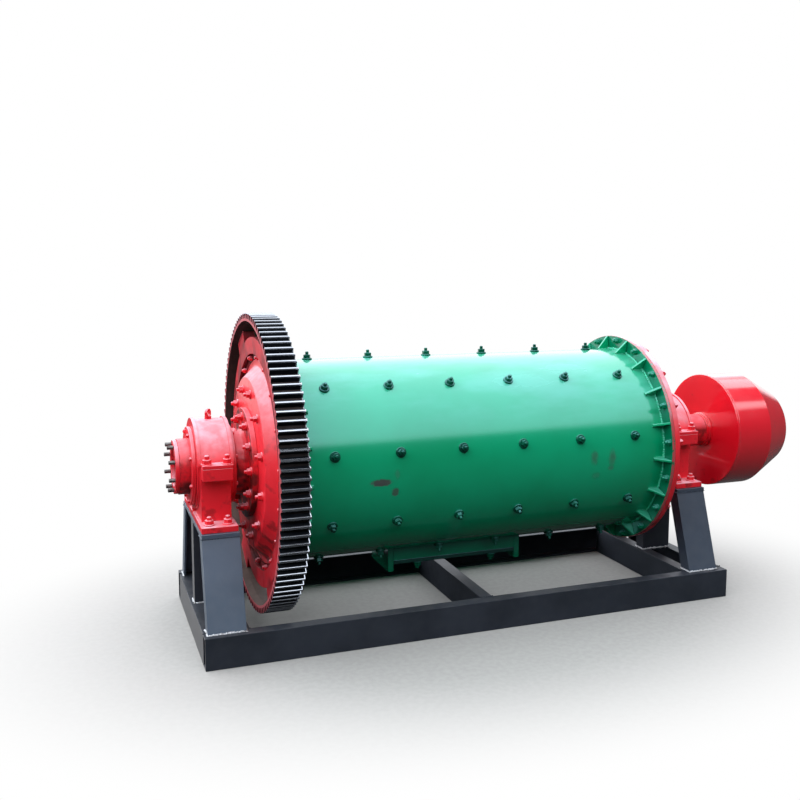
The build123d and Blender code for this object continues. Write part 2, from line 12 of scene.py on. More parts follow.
import bmesh
import bpy
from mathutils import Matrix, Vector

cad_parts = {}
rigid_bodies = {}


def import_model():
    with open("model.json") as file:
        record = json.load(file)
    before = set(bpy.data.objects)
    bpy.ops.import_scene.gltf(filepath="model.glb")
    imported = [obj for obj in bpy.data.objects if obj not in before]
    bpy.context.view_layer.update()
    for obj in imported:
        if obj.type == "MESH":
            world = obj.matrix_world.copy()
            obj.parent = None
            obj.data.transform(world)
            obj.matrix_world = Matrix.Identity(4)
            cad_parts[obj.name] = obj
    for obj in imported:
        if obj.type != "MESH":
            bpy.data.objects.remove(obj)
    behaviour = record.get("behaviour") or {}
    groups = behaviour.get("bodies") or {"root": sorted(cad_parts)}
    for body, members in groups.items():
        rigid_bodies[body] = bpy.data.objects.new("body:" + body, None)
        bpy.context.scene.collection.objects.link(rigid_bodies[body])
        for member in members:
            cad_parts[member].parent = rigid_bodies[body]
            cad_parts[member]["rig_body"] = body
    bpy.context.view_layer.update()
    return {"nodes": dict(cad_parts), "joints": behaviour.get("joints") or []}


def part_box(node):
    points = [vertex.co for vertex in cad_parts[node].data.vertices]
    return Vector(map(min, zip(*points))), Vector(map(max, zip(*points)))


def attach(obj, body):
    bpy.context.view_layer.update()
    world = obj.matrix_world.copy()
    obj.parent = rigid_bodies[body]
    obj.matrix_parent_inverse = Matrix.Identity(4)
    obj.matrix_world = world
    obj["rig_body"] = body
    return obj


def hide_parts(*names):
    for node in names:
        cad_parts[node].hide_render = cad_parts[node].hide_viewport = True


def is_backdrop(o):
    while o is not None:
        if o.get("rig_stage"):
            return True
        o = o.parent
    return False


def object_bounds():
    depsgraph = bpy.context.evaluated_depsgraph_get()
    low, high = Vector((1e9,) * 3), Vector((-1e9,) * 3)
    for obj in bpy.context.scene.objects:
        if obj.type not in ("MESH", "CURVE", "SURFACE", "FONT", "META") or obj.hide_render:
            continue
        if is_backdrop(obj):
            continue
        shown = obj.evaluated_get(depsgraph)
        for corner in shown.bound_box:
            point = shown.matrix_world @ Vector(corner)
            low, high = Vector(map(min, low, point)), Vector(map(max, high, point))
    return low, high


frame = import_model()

axis_z = frame["joints"][0]["pos_m"][2]
shell_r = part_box("drum_shell")[1].y
shell_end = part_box("drum_shell")[1].x
print(f"axis {axis_z:.3f} m high, shell radius {shell_r:.3f} m, shell end at {shell_end:.3f} m")

# %% [markdown]
# ## Arithmetic on sockets
# A list of links is hard to read, a formula isn't. A Wire stands for one output of a node, and adding or
# multiplying it puts a Math node in the tree. A Graph grows by one method that makes any node: its settings
# are set first, then its sockets get values or links.

# %% Wires and graphs
class Wire:
    """One output of a node. Arithmetic on it adds Math nodes."""

    def __init__(self, graph, socket):
        self.graph = graph
        self.socket = socket

    def math(self, operation, first, second=0.0):
        return self.graph.node("ShaderNodeMath", {"operation": operation}, {0: first, 1: second})

    def __add__(self, other):
        return self.math("ADD", self, other)

    def __radd__(self, other):
        return self.math("ADD", other, self)

    def __sub__(self, other):
        return self.math("SUBTRACT", self, other)

    def __rsub__(self, other):
        return self.math("SUBTRACT", other, self)

    def __mul__(self, other):
        return self.math("MULTIPLY", self, other)

    def __rmul__(self, other):
        return self.math("MULTIPLY", other, self)

    def __truediv__(self, other):
        return self.math("DIVIDE", self, other)

    def __rtruediv__(self, other):
        return self.math("DIVIDE", other, self)

    def __pow__(self, other):
        return self.math("POWER", self, other)

    def __rpow__(self, other):
        return self.math("POWER", other, self)

    def __mod__(self, other):
        return self.math("MODULO", self, other)

    def __rmod__(self, other):
        return self.math("MODULO", other, self)

    def apply(self, operation):
        """A function of one value, such as a sine or a square root."""
        return self.math(operation, self)

    def larger(self, other):
        return self.math("MAXIMUM", self, other)

    def band(self, low, high):
        """0 at low, 1 at high, smooth between; high may be the smaller one."""
        return self.graph.node("ShaderNodeMapRange", {"interpolation_type": "SMOOTHSTEP"},
                               {0: self, 1: low, 2: high})


class Graph:
    """A node tree."""

    def __init__(self, tree):
        self.tree = tree

    def node(self, kind, settings=None, sockets=None, out=0):
        """Adds a node and gives one of its outputs, if it has any."""
        made = self.tree.nodes.new(kind)
        for name, value in (settings or {}).items():
            setattr(made, name, value)
        for name, value in (sockets or {}).items():
            if isinstance(value, Wire):
                self.tree.links.new(value.socket, made.inputs[name])
            else:
                made.inputs[name].default_value = value
        return Wire(self, made.outputs[out]) if made.outputs else None


print("wires for arithmetic, graphs for nodes")

# %% [markdown]
# ## What a finish is made of
# Paint on a machine is never one colour. It is thicker here and thinner there, dust lies on what faces up,
# and the gloss is dull where hands and weather were. A Finish starts from the piece's own coordinates, so
# its pattern stays on the piece when the drum turns, and ends in a single shader with a bump.

# %% The Finish class
def srgb(red, green, blue):
    """A colour as a picture shows it, 0 to 255, in the linear values that shaders use."""
    channels = [v / 255 for v in (red, green, blue)]
    return (*[v / 12.92 if v <= 0.04045 else ((v + 0.055) / 1.055) ** 2.4 for v in channels], 1.0)


class Finish(Graph):
    """A material with noise, position and facing at hand."""

    def __init__(self, name):
        self.material = bpy.data.materials.new(name)
        self.material.use_nodes = True
        super().__init__(self.material.node_tree)
        self.tree.nodes.clear()
        self.place = self.node("ShaderNodeTexCoord", out="Object")
        facing = self.node("ShaderNodeTexCoord", out="Normal")
        self.x, self.y, self.z = [self.part(self.place, axis) for axis in "XYZ"]
        self.left = 0.0 - self.part(facing, "X")
        self.up = self.part(facing, "Z")

    def part(self, vector, axis):
        return self.node("ShaderNodeSeparateXYZ", sockets={0: vector}, out=axis)

    def noise(self, scale, detail=3.0, stretch=(1.0, 1.0, 1.0)):
        spread = self.node("ShaderNodeMapping", sockets={"Vector": self.place, "Scale": stretch})
        return self.node("ShaderNodeTexNoise", sockets={"Vector": spread, "Scale": scale, "Detail": detail})

    def mix(self, mask, first, second):
        return self.node("ShaderNodeMix", {"data_type": "RGBA"}, {0: mask, 6: first, 7: second}, out=2)

    def radius(self):
        """Distance from the mill axis."""
        return (self.y ** 2 + (self.z - axis_z) * (self.z - axis_z)).apply("SQRT")

    def surface(self, tone, roughness, height, lift, **constants):
        bump = self.node("ShaderNodeBump", sockets={"Height": height, "Distance": lift})
        sockets = {"Base Color": tone, "Roughness": roughness, "Normal": bump}
        sockets.update({name.replace("_", " "): value for name, value in constants.items()})
        shader = self.node("ShaderNodeBsdfPrincipled", sockets=sockets)
        self.node("ShaderNodeOutputMaterial", sockets={"Surface": shader})
        return self.material


print(f"a middle grey of 128 is {srgb(128, 128, 128)[0]:.3f} in linear light")

# %% [markdown]
# ## Green gloss on the drum
# The drum is rolled plate under a thick jade enamel. A slow noise lets the colour drift, a stretched one
# follows the rolling direction, and a fine one makes the orange peel that breaks up reflections. A few
# knocks from handling went through the paint: each is an ellipse with a ragged edge at a measured spot.

# %% Green enamel
NO_SPRAY = 9.0
SPRAY_EDGE = 0.004
# Each scuff: x, z, half its width, half its height, depth, blur.
SCUFFS = [
    (-0.541, 0.736, 0.048, 0.017, 1.0, 0.0), (-0.476, 0.690, 0.017, 0.020, 0.85, 0.0),
    (-0.468, 0.768, 0.012, 0.024, 0.3, 0.3), (0.517, 0.772, 0.017, 0.030, 0.55, 0.8),
    (0.613, 0.766, 0.018, 0.036, 0.6, 0.8), (0.608, 0.718, 0.016, 0.012, 0.5, 0.6),
    (0.530, 0.684, 0.020, 0.016, 0.3, 0.6)]


def green_enamel(name, colour, deep, spray_r=NO_SPRAY, coat=0.5, shine=1.0):
    """Jade enamel; red overspray begins at spray_r from the mill axis."""
    paint = Finish(name)
    clouds = paint.noise(2.1, 4.0)
    rolled = paint.noise(6.0, 5.0, (0.35, 1.0, 1.0))
    peel = paint.noise(120.0, 2.0)
    tone = paint.mix(clouds.band(0.35, 0.65), colour, deep)
    # Dust on faces turned up, in a pale blue-white that is also a painted sky highlight on top of the drum.
    dust = paint.up.band(0.1, 0.9) * (0.4 + 0.6 * rolled.band(0.42, 0.7)) * 0.3
    tone = paint.mix(dust, tone, srgb(150, 226, 236))
    ragged = paint.noise(60.0, 5.0)
    scuffs = []
    for x, z, half_x, half_z, depth, blur in SCUFFS:
        reach = ((paint.x - x) / half_x) ** 2 + ((paint.z - z) / half_z) ** 2 + (ragged - 0.5) * 2.2
        scuffs.append(reach.band(1.3 + blur, 0.5 - blur) * paint.y.band(0.0, -0.1) * depth)
    worn = functools.reduce(Wire.larger, scuffs)
    tone = paint.mix(worn, tone, srgb(66, 52, 46))
    spray = paint.radius().band(spray_r - SPRAY_EDGE, spray_r) * ragged.band(0.3, 0.5)
    tone = paint.mix(spray, tone, srgb(186, 74, 78))
    roughness = 0.13 + 0.10 * rolled + 0.3 * dust + 0.4 * worn
    height = 0.2 * peel + 0.25 * rolled - 0.3 * worn
    return paint.surface(tone, roughness, height, 0.0005, Coat_Weight=coat, Coat_Roughness=0.05,
                         Specular_IOR_Level=shine, Specular_Tint=(0.38, 0.98, 1.0, 1.0))


flange_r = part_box("shell_flange_right")[1].y
green = green_enamel("green_gloss", srgb(2, 164, 112), srgb(0, 152, 100))
# The flanges' green, painted darker than the shell's: painted shade.
green_flange = green_enamel("green_flange", srgb(2, 124, 84), srgb(0, 106, 72), flange_r)
# A lighter green for the flange beads: a painted highlight along the bead tops.
green_weld = green_enamel("green_weld", srgb(60, 196, 150), srgb(40, 180, 132))
green_hatch = green_enamel("green_hatch", srgb(2, 112, 78), srgb(0, 94, 64))
green_dark = green_enamel("green_dark", srgb(4, 52, 40), srgb(2, 40, 32))
green_nuts = green_enamel("green_nuts", srgb(4, 88, 62), srgb(0, 62, 44), coat=0.1, shine=0.4)
green_bolts = green_enamel("green_bolts", srgb(8, 132, 92), srgb(2, 110, 76), coat=0.1, shine=0.4)
print("green enamel with", len(SCUFFS), "scuffs")

# %% [markdown]
# ## Red on castings and on sheet
# The same red covers two kinds of surface. Sand castings keep a coarse grain under the paint, rolled sheet
# is smooth. So one function takes the depth of the grain. Dust settles paler on whatever faces up, and its
# pale pink also serves as a painted highlight. Below the mill axis and on what faces down, grease and
# painted shade darken it together, most of all on the trunnion necks and low on the covers, where the
# grease ran.

# %% Red paint
CAST_RED = (srgb(238, 40, 52), srgb(226, 32, 46))
SHEET_RED = (srgb(232, 24, 42), srgb(220, 18, 36))


def red_paint(name, reds, grain, dusty, gloss, grease_and_shade, coat, shine):
    """Red over a cast or a smooth ground; grease and painted shade darken it below the mill axis."""
    paint = Finish(name)
    clouds = paint.noise(3.0, 4.0)
    mottle = paint.noise(17.0, 6.0)
    sand = paint.noise(85.0, 4.0)
    tone = paint.mix(clouds.band(0.35, 0.65), *reds)
    # Dust on faces turned up; its pale bluish pink is also a painted highlight of the sky on the tops.
    dust = paint.up.band(0.1, 0.9) * (0.5 + 0.5 * mottle.band(0.35, 0.7)) * dusty
    tone = paint.mix(dust, tone, srgb(236, 206, 220))
    # Painted shade with grease: darker below the mill axis and on faces turned down.
    low = paint.z.band(axis_z - 0.05, axis_z - 0.40)
    patches = (mottle + 0.14 * low).band(0.75 - 0.45 * grease_and_shade, 0.80 - 0.2 * grease_and_shade)
    grime_and_shade = patches * paint.up.band(0.7, 0.0) * (grease_and_shade + 0.3 * low)
    tone = paint.mix(grime_and_shade, tone, srgb(74, 28, 26))
    roughness = gloss + 0.12 * mottle + 0.4 * dust
    height = grain * sand + 0.4 * grain * mottle + 0.1 * clouds
    return paint.surface(tone, roughness, height, 0.0008, Coat_Weight=coat, Coat_Roughness=0.08,
                         Specular_IOR_Level=shine)


red_cast = red_paint("red_cast", CAST_RED, grain=1.0, dusty=0.72, gloss=0.28, grease_and_shade=0.40,
                     coat=0.15, shine=0.3)
red_sheet = red_paint("red_sheet", SHEET_RED, grain=0.05, dusty=0.03, gloss=0.05, grease_and_shade=0.2,
                      coat=0.8, shine=1.0)
red_neck = red_paint("red_neck", CAST_RED, grain=0.6, dusty=0.30, gloss=0.30, grease_and_shade=0.9,
                     coat=0.2, shine=0.3)
red_end = red_paint("red_end", CAST_RED, grain=0.6, dusty=0.95, gloss=0.30, grease_and_shade=0.35,
                    coat=0.2, shine=0.4)
print("red paint for castings, sheet, trunnion necks and the dusty feed end")

# %% [markdown]
# ## Where the gear ran
# The teeth of the girth gear were painted black, and then the gear ran: the pinion wiped a stripe on each
# tip and both its edges down to bright steel. The finish finds the tooth by its distance from the mill axis
# and the place on it by the angle, taken modulo one tooth, so 108 teeth need no picture.

# %% Bare steel on the teeth
TEETH = 108
TOOTH_DEPTH = 0.0242
TIP_WEAR = 0.0030
TIP_STRIPE = (0.080, 0.060)
TIP_EDGES = (0.120, 0.135)
FAR_EDGE = 0.004
SOFT = 0.001
gear_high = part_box("girth_gear_upper_half")[1]
gear_r = gear_high.z - axis_z


def beyond(value, place):
    """0 before a place and 1 after it, with a soft line between."""
    return value.band(place - SOFT, place + SOFT)


def bare_steel(paint, radius, teeth, sides):
    """The stripe along each tip, its two edges, and the far edge of the teeth."""
    turn = paint.node("ShaderNodeMath", {"operation": "ARCTAN2"}, {0: paint.z - axis_z, 1: paint.y})
    from_middle = ((turn / (2 * math.pi) + 1.0) * TEETH % 1.0 - 0.5).apply("ABSOLUTE")
    edges = from_middle.band(*TIP_EDGES) * paint.up.band(0.98, 0.80)
    stripe = from_middle.band(*TIP_STRIPE).larger(edges)
    tip = beyond(radius, gear_r - TIP_WEAR) * stripe * sides
    far_edge = teeth * beyond(paint.x, gear_high.x - FAR_EDGE)
    return tip.larger(far_edge)


print(f"{TEETH} teeth, tips at radius {gear_r:.3f} m")

# %% [markdown]
# ## Black teeth, red arms
# Inside the root circle the gear is dull red, with dust on what faces up and oil towards the hub. Painted
# shade darkens the recess where the clamping nuts sit and every red face not turned to the left, and the
# black inside the rim is black paint and painted shade together. One finish covers the whole casting,
# because the border between its two paints is a circle: masks by radius set them apart better than separate
# pieces would.

# %% Gear finish
RIM_INSIDE = 0.047
GEAR_RECESS_X = -0.980
GEAR_RECESS_R = 0.496
OILY_R = (0.60, 0.57)


def gear_red(paint, radius, rim, on_face, mottle):
    """The red of arms, hub and tooth ends, with its dust and oil, and painted shade in the recess and on
    faces not turned to the left.
    """
    clouds = paint.noise(4.0, 4.0)
    red = paint.mix(clouds.band(0.35, 0.65), srgb(200, 26, 40), srgb(165, 20, 34))
    dust = (0.2 + 0.8 * paint.up.band(-0.1, 0.9)) * mottle.band(0.3, 0.65) * 0.4 + rim * on_face * 0.3
    red = paint.mix(dust, red, srgb(206, 150, 156))
    oily = radius.band(*OILY_R) * clouds.band(0.40, 0.58) * 0.6
    red = paint.mix(oily, red, srgb(74, 22, 24))
    # Painted shade: dark in the recess where the clamping nuts sit, and halfway dark on every face not
    # turned to the left.
    recess_shade = radius.band(GEAR_RECESS_R + 0.002, GEAR_RECESS_R - 0.002)
    recess_shade = recess_shade * paint.x.band(GEAR_RECESS_X - 0.012, GEAR_RECESS_X - 0.006)
    red = paint.mix(recess_shade * 0.7 + (1.0 - on_face) * 0.5, red, srgb(62, 22, 22))
    ends = beyond(radius, gear_r - TOOTH_DEPTH) * on_face
    return paint.mix(ends * 0.5, red, srgb(90, 26, 32))


def gear_finish(name):
    """Black on the teeth, black paint and painted shade inside the rim, red elsewhere, bare where the
    pinion ran.
    """
    paint = Finish(name)
    mottle = paint.noise(21.0, 6.0)
    sand = paint.noise(90.0, 4.0)
    radius = paint.radius()
    on_face = paint.left.band(0.6, 0.85)
    sides = 1.0 - on_face
    rim_inside = gear_r - RIM_INSIDE
    rim = radius.band(rim_inside - 0.006, rim_inside - 0.002)
    teeth = beyond(radius, gear_r - TOOTH_DEPTH) * sides
    black = paint.mix(mottle.band(0.4, 0.7), srgb(13, 16, 21), srgb(22, 25, 30))
    settled = rim * (1.0 - teeth) * (0.35 + 0.65 * paint.up.band(0.0, 0.8)) * (0.4 + 0.6 * mottle)
    black = paint.mix(settled, black, srgb(112, 92, 84))
    # Black paint on the teeth; inside the rim the black is black paint and painted shade together.
    black_and_shade = teeth.larger(rim * sides)
    tone = paint.mix(black_and_shade, gear_red(paint, radius, rim, on_face, mottle), black)
    bare = bare_steel(paint, radius, teeth, sides) * (0.85 + 0.3 * mottle)
    tone = paint.mix(bare, tone, srgb(186, 190, 198))
    roughness = 0.5 - 0.36 * bare + 0.10 * mottle
    height = (sand + 0.4 * mottle) * (1.0 - 0.9 * black_and_shade)
    return paint.surface(tone, roughness, height, 0.0003, Metallic=bare,
                         Coat_Weight=(1.0 - black_and_shade) * 0.15, Coat_Roughness=0.2, Specular_IOR_Level=0.06)


gear_black = gear_finish("gear_black")
print("gear finish with", len(gear_black.node_tree.nodes), "nodes")

# %% [markdown]
# ## Steel without gloss
# The skid is dipped in thin black, the pedestals are sprayed slate grey, and three things are bare: the
# studs that wait for the spout, the weld beads at the feet, and the bronze of the bushes. Mud splashed up
# against the skid's left end, and the light it catches there is painted in too, so the paint there is
# paler.

# %% Frame, pedestal and bare metal
LEFT_END_X = (-1.22, -1.29)


def plain_paint(name, colour, deep, dust_colour, dusty, gloss, splash_and_light, shine):
    """Thin paint on rolled steel, with dust on top, and mud and painted light on the left end."""
    paint = Finish(name)
    clouds = paint.noise(3.5, 4.0)
    mottle = paint.noise(26.0, 7.0)
    tone = paint.mix(clouds.band(0.35, 0.65), colour, deep)
    dust = (0.15 + 0.85 * paint.up.band(0.3, 0.95)) * mottle.band(0.4, 0.68) * dusty
    # Paler on faces turned left at the left end: mud and painted light together.
    mud_and_light = paint.left.band(0.6, 0.9) * paint.x.band(*LEFT_END_X) * (0.5 + 0.5 * mottle) * splash_and_light
    dust = dust + mud_and_light
    tone = paint.mix(dust, tone, dust_colour)
    roughness = gloss + 0.2 * mottle + 0.25 * dust
    return paint.surface(tone, roughness, mottle + 0.3 * paint.noise(110.0, 3.0), 0.0006,
                         Specular_IOR_Level=shine)


def bare_metal(name, colour, stained, gloss, lift):
    """Unpainted metal with stains."""
    metal = Finish(name)
    mottle = metal.noise(38.0, 6.0)
    tone = metal.mix(mottle.band(0.5, 0.75), colour, stained)
    return metal.surface(tone, gloss + 0.2 * mottle, metal.noise(160.0, 3.0), lift, Metallic=0.9)


frame_black = plain_paint("frame_black", srgb(49, 53, 61), srgb(40, 44, 51), srgb(150, 146, 142),
                          dusty=0.07, gloss=0.36, splash_and_light=0.60, shine=0.2)
pedestal_grey = plain_paint("pedestal_grey", srgb(84, 97, 114), srgb(75, 88, 104), srgb(150, 146, 140),
                            dusty=0.14, gloss=0.30, splash_and_light=0.30, shine=0.5)
# The right pedestal's grey painted darker: painted shade.
pedestal_dark = plain_paint("pedestal_dark", srgb(64, 73, 87), srgb(56, 65, 78), srgb(140, 136, 130),
                            dusty=0.14, gloss=0.30, splash_and_light=0.30, shine=0.5)
weld_silver = bare_metal("weld_silver", srgb(188, 190, 192), srgb(112, 108, 104), gloss=0.34, lift=0.0012)
dark_steel = bare_metal("dark_steel", srgb(112, 110, 108), srgb(60, 52, 46), gloss=0.3, lift=0.0003)
bush_bronze = bare_metal("bush_bronze", srgb(176, 128, 70), srgb(120, 82, 44), gloss=0.3, lift=0.0003)
print(len(bpy.data.materials), "finishes")

# %% [markdown]
# ## Edges that catch the light
# No plate or casting has a knife edge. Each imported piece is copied, its triangles are joined into whole
# faces, and every sharp edge gets a narrow round. The round is what draws the thin bright line along an
# edge. Cast pieces get a wide one, rolled channels and plates a narrow one.

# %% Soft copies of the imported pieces
SAME_SPOT = 1e-5
FLAT = math.radians(0.4)
SHARP = math.radians(32)


def soften(node, material, slot, width):
    """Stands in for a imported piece: joined faces, rounded edges, one finish."""
    bm = bmesh.new()
    bm.from_mesh(frame["nodes"][node].data)
    bmesh.ops.remove_doubles(bm, verts=bm.verts, dist=SAME_SPOT)
    bmesh.ops.dissolve_limit(bm, angle_limit=FLAT, verts=bm.verts, edges=bm.edges)
    mesh = bpy.data.meshes.new(node + "_soft")
    bm.to_mesh(mesh)
    bm.free()
    mesh.materials.clear()
    mesh.materials.append(material)
    mesh.polygons.foreach_set("use_smooth", [True] * len(mesh.polygons))
    mesh.set_sharp_from_angle(angle=SHARP)
    soft = bpy.data.objects.new(node + "_soft", mesh)
    bpy.context.collection.objects.link(soft)
    bevel = soft.modifiers.new("round", "BEVEL")
    bevel.width = width
    bevel.segments = 2
    bevel.limit_method = "ANGLE"
    bevel.angle_limit = SHARP
    bevel.harden_normals = True
    bpy.context.view_layer.update()
    rounded = bpy.data.meshes.new_from_object(soft.evaluated_get(bpy.context.evaluated_depsgraph_get()))
    soft.modifiers.clear()
    soft.data = rounded
    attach(soft, frame["nodes"][node]["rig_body"])
    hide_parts(node)
    return soft


# Each coat: how the names of its pieces begin, finish, slot, width of the round.
COATS = [
    ("frame_", frame_black, "frame_black", 0.0022),
    ("pedestal_columns", frame_black, "frame_black", 0.0018),
    ("pedestal_left", pedestal_grey, "pedestal_grey", 0.0018),
    ("pedestal_right", pedestal_dark, "pedestal_grey", 0.0018),
    ("bearing_left_bush", bush_bronze, "bush_bronze", 0.0010),
    ("bearing_right_bush", bush_bronze, "bush_bronze", 0.0010),
    ("bearing_", red_cast, "red_paint", 0.0035),
    ("drum_shell", green, "green_gloss", 0.0010),
    ("shell_flange", green_flange, "green_gloss", 0.0020),
    ("flange_gussets", green, "green_gloss", 0.0028),
    ("manhole_cover", green_dark, "green_gloss", 0.0025),
    ("manhole_", green_hatch, "green_gloss", 0.0025),
    ("discharge_end", red_cast, "red_paint", 0.0040),
    ("feed_end", red_end, "red_paint", 0.0040),
    ("trunnion_", red_neck, "red_paint", 0.0030),
    ("girth_gear", gear_black, "gear_black", 0.0005),
    ("spout_ring", red_cast, "red_paint", 0.0025),
    ("spout_studs", dark_steel, "bare_steel", 0.0012),
    ("feeder_", red_sheet, "red_paint", 0.0032)]

faces = 0
for node in sorted(frame["nodes"]):
    coat = next(c for c in COATS if node.startswith(c[0]))
    faces += len(soften(node, *coat[1:]).data.polygons)
print(len(frame["nodes"]), "pieces softened,", faces, "faces")

# %% [markdown]
# ## A nut on its washer
# Every bolt on the mill shows the same stack: a round washer, a hexagon nut with its corners turned down,
# and the end of a stud. It could be cut from a cylinder, but stacked rings of corners need fewer faces,
# which counts where a shape is repeated. Each nut is made once, about its own Z axis.

# %% Nuts
NUT_SHARP = math.radians(35)
WASHER_SIDES, NUT_SIDES, STUD_SIDES = 20, 6, 12
CHAMFER = 0.12


def fastener(name, parts):
    """Closed solids stacked on Z; each part is a number of sides and its (radius, height) steps."""
    bm = bmesh.new()
    for sides, steps in parts:
        loops = []
        for radius, height in steps:
            turns = [2 * math.pi * k / sides for k in range(sides)]
            spots = [(radius * math.cos(t), radius * math.sin(t), height) for t in turns]
            loops.append([bm.verts.new(spot) for spot in spots])
        for low, high in zip(loops, loops[1:]):
            for k in range(sides):
                bm.faces.new((low[k], low[(k + 1) % sides], high[(k + 1) % sides], high[k]))
        bm.faces.new(loops[0][::-1])
        bm.faces.new(loops[-1])
    mesh = bpy.data.meshes.new(name)
    bm.to_mesh(mesh)
    bm.free()
    mesh.polygons.foreach_set("use_smooth", [True] * len(mesh.polygons))
    mesh.set_sharp_from_angle(angle=NUT_SHARP)
    return bpy.data.objects.new(name, mesh)


def nut(name, corner, height, stud, stud_end, washer=0.0, washer_height=0.0):
    """Washer, hexagon nut with a chamfer and the end of a stud."""
    chamfer = corner * CHAMFER
    top = washer_height + height
    parts = []
    if washer:
        parts.append((WASHER_SIDES, [(washer, 0), (washer, washer_height * 0.75),
                                     (washer - washer_height * 0.25, washer_height)]))
    parts.append((NUT_SIDES, [(corner, washer_height), (corner, top - chamfer), (corner - chamfer, top)]))
    parts.append((STUD_SIDES, [(stud, top), (stud, top + stud_end - stud * 0.3),
                               (stud * 0.7, top + stud_end)]))
    return fastener(name, parts)


liner_nut = nut("liner_nut", corner=0.0170, height=0.016, stud=0.0078, stud_end=0.014,
                washer=0.0235, washer_height=0.008)
print("a liner nut has", len(liner_nut.data.polygons), "faces")

# %% [markdown]
# ## Trees for what repeats
# A Geometry Nodes tree is a recipe with named inputs. It is built once and run with other values for each
# ring of bolts or run of weld. A holder carries the tree as a modifier, its evaluated shape is taken as a
# plain mesh, and modifier and holder are thrown away. Copies made by hand would look the same, but a tree
# keeps count, spacing and chance in one place.

# %% The Tree class
class Tree(Graph):
    """A Geometry Nodes group with named inputs."""

    def __init__(self, name, inputs):
        super().__init__(bpy.data.node_groups.new(name, "GeometryNodeTree"))
        face = self.tree.interface
        face.new_socket("Geometry", in_out="INPUT", socket_type="NodeSocketGeometry")
        for label, kind in inputs.items():
            face.new_socket(label, in_out="INPUT", socket_type="NodeSocket" + kind)
        face.new_socket("Geometry", in_out="OUTPUT", socket_type="NodeSocketGeometry")
        self.source = self.node("NodeGroupInput").socket.node

    def given(self, label):
        return Wire(self, self.source.outputs[label])

    def vector(self, x=0.0, y=0.0, z=0.0):
        return self.node("ShaderNodeCombineXYZ", sockets={"X": x, "Y": y, "Z": z})

    def end(self, geometry):
        """Makes copies real, coats them and closes the tree."""
        solid = self.node("GeometryNodeRealizeInstances", sockets={0: geometry})
        coated = self.node("GeometryNodeSetMaterial",
                           sockets={"Geometry": solid, "Material": self.given("Material")})
        self.node("NodeGroupOutput", sockets={0: coated})

    def run(self, values, mesh=None):
        """The mesh that the tree makes from these values."""
        holder = bpy.data.objects.new("holder", mesh or bpy.data.meshes.new("holder"))
        bpy.context.collection.objects.link(holder)
        modifier = holder.modifiers.new("tree", "NODES")
        modifier.node_group = self.tree
        for item in self.tree.interface.items_tree:
            if item.in_out == "INPUT" and item.name in values:
                modifier[item.identifier] = values[item.name]
        bpy.context.view_layer.update()
        seen = holder.evaluated_get(bpy.context.evaluated_depsgraph_get())
        made = bpy.data.meshes.new_from_object(seen)
        holder.modifiers.clear()
        bpy.data.objects.remove(holder)
        return made


print("trees run and leave plain meshes")

# %% [markdown]
# ## Nuts by the ring and by the row
# Bolts come in rings and rows, so one tree sets them all: so many rows round the mill axis, so many bolts
# in a row along it. Facing 0 points them outwards, 1 or -1 along the axis. A second tree takes loose
# points, each with its own direction, for the bolts of the housings and lugs.

# %% Bolt trees
def set_bolts(tree, points, direction):
    """Adds the shared end: a bolt on each point, turned at random about its own axis."""
    index = tree.node("GeometryNodeInputIndex")
    aligned = tree.node("FunctionNodeAlignRotationToVector", {"axis": "Z"}, {"Vector": direction})
    # A random number has its limits on sockets 2 and 3, the bolt it is for on 7 and its seed on 8.
    spin = tree.node("FunctionNodeRandomValue", {"data_type": "FLOAT"},
                     {2: 0.0, 3: 2 * math.pi, 7: index, 8: tree.given("Seed")}, out=1)
    turn = tree.node("FunctionNodeEulerToRotation", sockets={0: tree.vector(z=spin)})
    turned = tree.node("FunctionNodeRotateRotation", {"rotation_space": "LOCAL"}, {0: aligned, 1: turn})
    bolt = tree.node("GeometryNodeObjectInfo", sockets={0: tree.given("Bolt")}, out="Geometry")
    tree.end(tree.node("GeometryNodeInstanceOnPoints",
                       sockets={"Points": points, "Instance": bolt, "Rotation": turned}))


rows = Tree("bolt_rows", {
    "Bolt": "Object", "Material": "Material", "Rows": "Int", "Per Row": "Int", "First Angle": "Float",
    "First Station": "Float", "Station Step": "Float", "Radius": "Float", "Axis Height": "Float",
    "Facing": "Float", "Seed": "Int"})
index = rows.node("GeometryNodeInputIndex")
row = (index / rows.given("Per Row")).apply("FLOOR")
angle = rows.given("First Angle") + row * (2 * math.pi) / rows.given("Rows")
across, rise = angle.apply("COSINE"), angle.apply("SINE")
station = rows.given("First Station") + index % rows.given("Per Row") * rows.given("Station Step")
line = rows.node("GeometryNodeMeshLine", sockets={"Count": rows.given("Rows") * rows.given("Per Row")})
spot = rows.vector(station, rows.given("Radius") * across,
                   rows.given("Axis Height") + rows.given("Radius") * rise)
radial = 1.0 - rows.given("Facing").apply("ABSOLUTE")
set_bolts(rows, rows.node("GeometryNodeSetPosition", sockets={"Geometry": line, "Position": spot}),
          rows.vector(rows.given("Facing"), across * radial, rise * radial))

loose = Tree("bolt_points", {"Bolt": "Object", "Material": "Material", "Seed": "Int"})
facing = loose.node("GeometryNodeInputNamedAttribute", {"data_type": "FLOAT_VECTOR"}, {"Name": "facing"})
set_bolts(loose, loose.given("Geometry"), facing)
print("two trees for bolts")

# %% [markdown]
# ## Bolts on the drum
# Fifty-four bolts hold the liner plates inside the drum, in nine rows of six. Outside, each one shows as a
# small tower: a round cup washer, a nut, and the end of the bolt. Each flange has a ring of 18 more. One
# run of the tree gives each ring or set of rows, so a count or a radius can be changed in one place.

